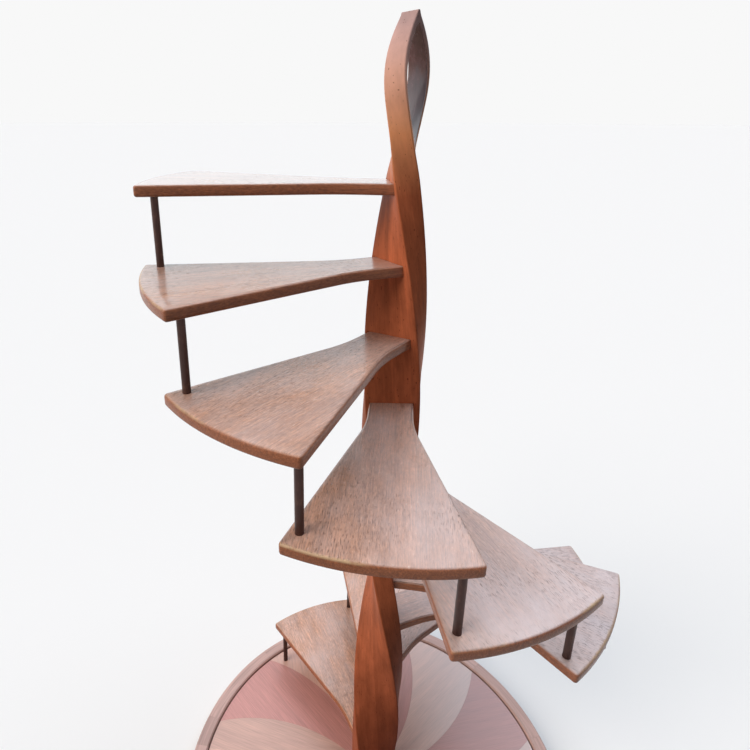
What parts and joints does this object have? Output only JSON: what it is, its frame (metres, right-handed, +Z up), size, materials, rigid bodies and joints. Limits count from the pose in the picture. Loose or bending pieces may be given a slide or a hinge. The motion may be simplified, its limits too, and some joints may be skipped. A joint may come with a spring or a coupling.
{
  "type": "spiral staircase model",
  "caption": "Wooden model of a spiral staircase: fan-shaped treads on a twisted board post with an open-eyed tip, tied by steel rods, on a round inlaid base.",
  "frame": {"origin": "centre of the base's underside", "axes": "+Z up along the post's axis; the eighth tread from below points to -Y"},
  "size_m": [0.453, 0.453, 0.854],
  "materials": {
    "backing_wood": "oiled wood",
    "pale_inlay_wood": "satin varnished veneer",
    "red_inlay_wood": "satin varnished veneer",
    "rim_wood": "satin varnish, worn",
    "post_wood": "satin varnish",
    "tread_wood": "worn satin varnish, open pores",
    "rod_steel": "dark patina"
  },
  "bodies": {
    "root": {"base_disc": "backing_wood", "pale_wedges": "pale_inlay_wood", "red_wedges": "red_inlay_wood", "twisted_post": "post_wood", "rim_segment_1": "rim_wood", "rim_segment_2": "rim_wood", "rim_segment_3": "rim_wood", "rim_segment_4": "rim_wood", "rim_segment_5": "rim_wood", "rim_segment_6": "rim_wood", "rim_segment_7": "rim_wood", "rim_segment_8": "rim_wood", "rim_segment_9": "rim_wood", "rim_segment_10": "rim_wood", "rim_segment_11": "rim_wood", "rim_segment_12": "rim_wood", "tread_1": "tread_wood", "tread_2": "tread_wood", "tread_3": "tread_wood", "tread_4": "tread_wood", "tread_5": "tread_wood", "tread_6": "tread_wood", "tread_7": "tread_wood", "tread_8": "tread_wood", "tread_9": "tread_wood", "tread_10": "tread_wood", "tread_11": "tread_wood", "rod_1": "rod_steel", "rod_2": "rod_steel", "rod_3": "rod_steel", "rod_4": "rod_steel", "rod_5": "rod_steel", "rod_6": "rod_steel", "rod_7": "rod_steel", "rod_8": "rod_steel", "rod_9": "rod_steel", "rod_10": "rod_steel", "rod_11": "rod_steel"}
  },
  "joints": []
}
